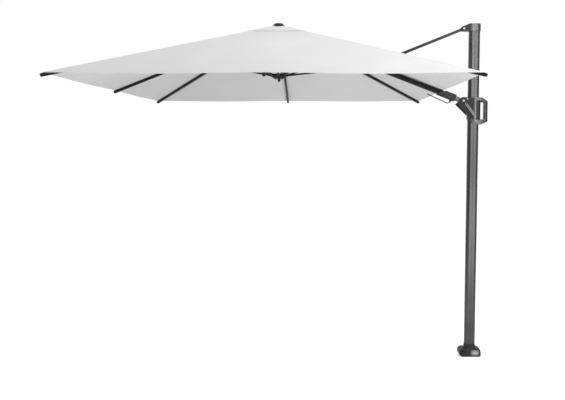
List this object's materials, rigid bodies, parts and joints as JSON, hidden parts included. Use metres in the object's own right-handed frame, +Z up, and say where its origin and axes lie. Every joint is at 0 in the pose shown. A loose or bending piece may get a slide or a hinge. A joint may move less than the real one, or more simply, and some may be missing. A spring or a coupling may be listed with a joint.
{
  "type": "cantilever parasol",
  "caption": "Side-post parasol: a square pitched canopy on folding ribs hangs from a tilting arm, whose carriage slides down a swivelling mast to fold it.",
  "frame": {"origin": "on the mast's axis, on the underside of the foot, where it stands on its ballast base", "axes": "+Z up along the mast; the canopy hangs on the -X side, and the linkage's hinges run along Y"},
  "size_m": [3.4206, 3.0292, 3.0727],
  "materials": {
    "anthracite_coat": "satin",
    "mast_coat": "satin",
    "light_coat": "satin",
    "bolt_steel": "satin",
    "dark_plastic": "matte",
    "canopy_fabric": "matte"
  },
  "bodies": {
    "foot": {"foot_collar": "anthracite_coat", "foot_bushing": "dark_plastic", "foot_plate": "bolt_steel"},
    "lock_knob": {"swivel_lock_knob": "dark_plastic"},
    "mast": {"mast_tube": "mast_coat", "mast_shoe": "anthracite_coat", "mast_top_bracket": "anthracite_coat", "mast_cap": "dark_plastic", "strut_upper_bolt": "bolt_steel"},
    "strut": {"strut_tube": "anthracite_coat", "strut_upper_end": "dark_plastic", "strut_lower_fork": "dark_plastic"},
    "arm_mount": {"arm_collar": "anthracite_coat", "arm_knuckle": "light_coat"},
    "carriage": {"carriage_sleeve": "light_coat", "carriage_liner": "dark_plastic", "front_cheek": "anthracite_coat", "back_cheek": "anthracite_coat", "arm_pivot_bolt": "bolt_steel", "cheek_bolt": "bolt_steel", "carriage_handle": "anthracite_coat"},
    "release": {"release_lever": "light_coat"},
    "arm": {"arm_tube": "anthracite_coat", "arm_tail_housing": "anthracite_coat", "arm_bush": "dark_plastic", "arm_head": "dark_plastic", "arm_head_pin": "bolt_steel", "arm_bracket": "dark_plastic"},
    "tilt_grip": {"tilt_lever": "dark_plastic"},
    "crown": {"crown_hub": "dark_plastic", "crown_cap": "dark_plastic", "vent_cap": "canopy_fabric", "canopy": "canopy_fabric"},
    "runner": {"runner_hub": "dark_plastic", "runner_knob": "dark_plastic"},
    "rib_1": {"rib_1": "anthracite_coat", "rib_tip_1": "dark_plastic"},
    "rib_2": {"rib_2": "anthracite_coat", "rib_tip_2": "dark_plastic"},
    "rib_3": {"rib_3": "anthracite_coat", "rib_tip_3": "dark_plastic"},
    "rib_4": {"rib_4": "anthracite_coat", "rib_tip_4": "dark_plastic"},
    "rib_5": {"rib_5": "anthracite_coat", "rib_tip_5": "dark_plastic"},
    "rib_6": {"rib_6": "anthracite_coat", "rib_tip_6": "dark_plastic"},
    "rib_7": {"rib_7": "anthracite_coat", "rib_tip_7": "dark_plastic"},
    "stretcher_1": {"stretcher_1": "anthracite_coat"},
    "stretcher_2": {"stretcher_2": "anthracite_coat"},
    "stretcher_3": {"stretcher_3": "anthracite_coat"},
    "stretcher_4": {"stretcher_4": "anthracite_coat"},
    "stretcher_5": {"stretcher_5": "anthracite_coat"},
    "stretcher_6": {"stretcher_6": "anthracite_coat"},
    "stretcher_7": {"stretcher_7": "anthracite_coat"},
    "stretcher_8": {"stretcher_8": "anthracite_coat"}
  },
  "joints": [
    {"name": "swivel_lock", "type": "hinge", "parent": "foot", "child": "lock_knob", "pos_m": [-0.065, 0, 0.04], "axis": [0, 1, 0], "range_deg": [0, 270]},
    {"name": "mast_swivel", "type": "hinge", "parent": "foot", "child": "mast", "pos_m": [0, 0, 0], "axis": [0, 0, 1], "continuous": true},
    {"name": "strut_fold", "type": "hinge", "parent": "mast", "child": "strut", "pos_m": [-0.098, 0, 3.027], "axis": [0, 1, 0], "range_deg": [-54.5, 0]},
    {"name": "parasol_fold", "type": "hinge", "parent": "strut", "child": "arm_mount", "pos_m": [-0.9124, 0, 2.70153], "axis": [0, 1, 0], "range_deg": [0, 108], "deforming": ["canopy", "vent_cap"]},
    {"name": "carriage_fold", "type": "hinge", "parent": "arm_mount", "child": "carriage", "pos_m": [-0.098, 0, 2.37606], "axis": [0, 1, 0], "range_deg": [-54.5, 0]},
    {"name": "release_pull", "type": "hinge", "parent": "carriage", "child": "release", "pos_m": [-0.078, 0, 2.34806], "axis": [0, -1, 0], "range_deg": [0, 12], "stiffness_Nm_per_rad": 0.6, "springref_deg": -11.46},
    {"name": "side_tilt", "type": "hinge", "parent": "arm_mount", "child": "arm", "pos_m": [-0.098, 0, 2.37606], "axis": [-0.9336, 0, 0.3584], "range_deg": [-15, 15]},
    {"name": "tilt_lever_pull", "type": "hinge", "parent": "arm", "child": "tilt_grip", "pos_m": [-0.21072, 0, 2.37541], "axis": [0, -1, 0], "range_deg": [0, 30], "stiffness_Nm_per_rad": 0.3, "springref_deg": -11.46},
    {"name": "crown_fold", "type": "hinge", "parent": "arm", "child": "crown", "pos_m": [-1.6804, 0, 2.98348], "axis": [0, 1, 0], "range_deg": [-63.5, 0]},
    {"name": "rib_fold_1", "type": "hinge", "parent": "crown", "child": "rib_1", "pos_m": [-1.73297, 0.04243, 3.02672], "axis": [-0.7071, 0.7071, 0], "range_deg": [0, 72.03]},
    {"name": "rib_fold_2", "type": "hinge", "parent": "crown", "child": "rib_2", "pos_m": [-1.7754, 0.06, 3.02214], "axis": [-1, 0, 0], "range_deg": [0, 66.13]},
    {"name": "rib_fold_3", "type": "hinge", "parent": "crown", "child": "rib_3", "pos_m": [-1.81783, 0.04243, 3.02672], "axis": [-0.7071, -0.7071, 0], "range_deg": [0, 72.03]},
    {"name": "rib_fold_4", "type": "hinge", "parent": "crown", "child": "rib_4", "pos_m": [-1.8354, 0, 3.02214], "axis": [0, -1, 0], "range_deg": [0, 66.13]},
    {"name": "rib_fold_5", "type": "hinge", "parent": "crown", "child": "rib_5", "pos_m": [-1.81783, -0.04243, 3.02672], "axis": [0.7071, -0.7071, 0], "range_deg": [0, 72.03]},
    {"name": "rib_fold_6", "type": "hinge", "parent": "crown", "child": "rib_6", "pos_m": [-1.7754, -0.06, 3.02214], "axis": [1, 0, 0], "range_deg": [0, 66.13]},
    {"name": "rib_fold_7", "type": "hinge", "parent": "crown", "child": "rib_7", "pos_m": [-1.73297, -0.04243, 3.02672], "axis": [0.7071, 0.7071, 0], "range_deg": [0, 72.03]},
    {"name": "stretcher_fold_1", "type": "hinge", "parent": "rib_1", "child": "stretcher_1", "pos_m": [-1.24656, 0.52884, 2.81564], "axis": [-0.7071, 0.7071, 0], "range_deg": [-143.57, 0]},
    {"name": "runner_fold", "type": "hinge", "parent": "stretcher_1", "child": "runner", "pos_m": [-1.73297, 0.04243, 2.60456], "axis": [-0.7071, 0.7071, 0], "range_deg": [0, 72.03]},
    {"name": "stretcher_fold_2", "type": "hinge", "parent": "runner", "child": "stretcher_2", "pos_m": [-1.7754, 0.06, 2.60456], "axis": [-1, 0, 0], "range_deg": [-78.22, 0]},
    {"name": "stretcher_fold_3", "type": "hinge", "parent": "runner", "child": "stretcher_3", "pos_m": [-1.81783, 0.04243, 2.60456], "axis": [-0.7071, -0.7071, 0], "range_deg": [-72.03, 0]},
    {"name": "stretcher_fold_4", "type": "hinge", "parent": "runner", "child": "stretcher_4", "pos_m": [-1.8354, 0, 2.60456], "axis": [0, -1, 0], "range_deg": [-78.22, 0]},
    {"name": "stretcher_fold_5", "type": "hinge", "parent": "runner", "child": "stretcher_5", "pos_m": [-1.81783, -0.04243, 2.60456], "axis": [0.7071, -0.7071, 0], "range_deg": [-72.03, 0]},
    {"name": "stretcher_fold_6", "type": "hinge", "parent": "runner", "child": "stretcher_6", "pos_m": [-1.7754, -0.06, 2.60456], "axis": [1, 0, 0], "range_deg": [-78.22, 0]},
    {"name": "stretcher_fold_7", "type": "hinge", "parent": "runner", "child": "stretcher_7", "pos_m": [-1.73297, -0.04243, 2.60456], "axis": [0.7071, 0.7071, 0], "range_deg": [-72.03, 0]},
    {"name": "stretcher_fold_8", "type": "hinge", "parent": "runner", "child": "stretcher_8", "pos_m": [-1.7154, 0, 2.60456], "axis": [0, 1, 0], "range_deg": [-79.03, 0]}
  ],
  "couplings": [
    {"joint": "strut_fold", "follows": "parasol_fold", "ratio": -0.5},
    {"joint": "carriage_fold", "follows": "parasol_fold", "ratio": -0.5},
    {"joint": "crown_fold", "follows": "parasol_fold", "ratio": -0.58333},
    {"joint": "rib_fold_1", "follows": "parasol_fold", "ratio": 0.66235},
    {"joint": "rib_fold_2", "follows": "parasol_fold", "ratio": 0.60769},
    {"joint": "rib_fold_3", "follows": "parasol_fold", "ratio": 0.66235},
    {"joint": "rib_fold_4", "follows": "parasol_fold", "ratio": 0.60769},
    {"joint": "rib_fold_5", "follows": "parasol_fold", "ratio": 0.66235},
    {"joint": "rib_fold_6", "follows": "parasol_fold", "ratio": 0.60769},
    {"joint": "rib_fold_7", "follows": "parasol_fold", "ratio": 0.66235},
    {"joint": "stretcher_fold_1", "follows": "parasol_fold", "ratio": -1.3247},
    {"joint": "runner_fold", "follows": "parasol_fold", "ratio": 0.66235},
    {"joint": "stretcher_fold_2", "follows": "parasol_fold", "ratio": -0.71963},
    {"joint": "stretcher_fold_3", "follows": "parasol_fold", "ratio": -0.66235},
    {"joint": "stretcher_fold_4", "follows": "parasol_fold", "ratio": -0.71963},
    {"joint": "stretcher_fold_5", "follows": "parasol_fold", "ratio": -0.66235},
    {"joint": "stretcher_fold_6", "follows": "parasol_fold", "ratio": -0.71963},
    {"joint": "stretcher_fold_7", "follows": "parasol_fold", "ratio": -0.66235},
    {"joint": "stretcher_fold_8", "follows": "parasol_fold", "ratio": -0.72713}
  ]
}
